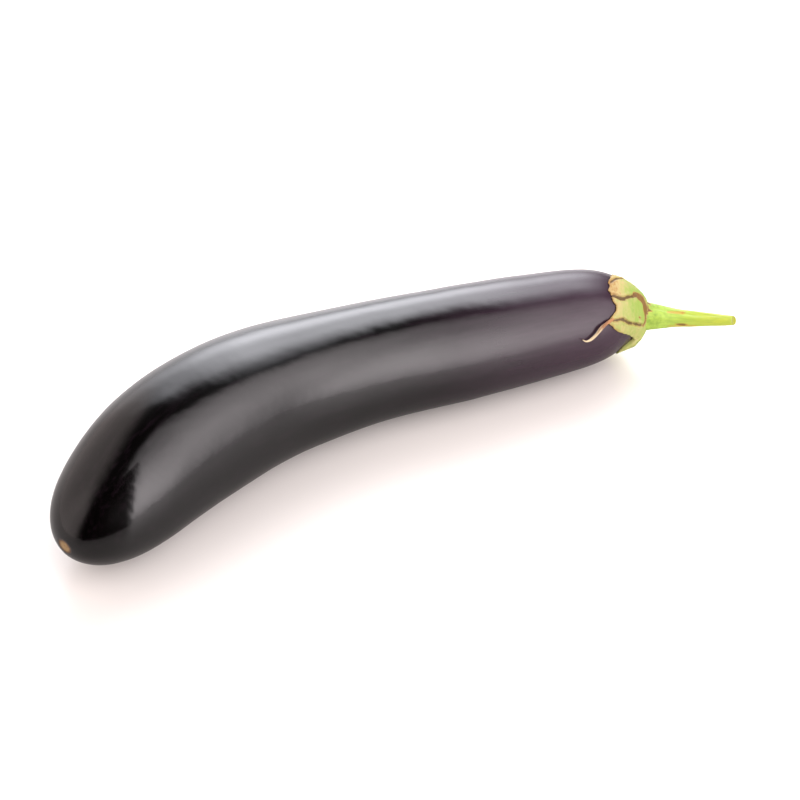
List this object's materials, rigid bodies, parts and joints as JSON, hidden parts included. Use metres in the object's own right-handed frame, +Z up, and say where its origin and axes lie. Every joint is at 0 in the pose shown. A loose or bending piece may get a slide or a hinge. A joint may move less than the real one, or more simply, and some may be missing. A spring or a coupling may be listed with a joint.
{
  "type": "eggplant",
  "caption": "Long, slim, glossy dark purple eggplant lying on its side, bent in one sweep, with a lobed green calyx and a short cut stem.",
  "frame": {"origin": "under the middle of the whole eggplant, on the surface that it lies on", "axes": "+X from the blossom end towards the stem, along the length; +Y towards the outer side of the bend; +Z up"},
  "size_m": [0.3012, 0.0802, 0.0575],
  "materials": {
    "skin": "gloss",
    "calyx": "matte",
    "stem": "satin"
  },
  "bodies": {
    "root": {"fruit": "skin", "calyx": "calyx", "stem": "stem"}
  },
  "joints": []
}
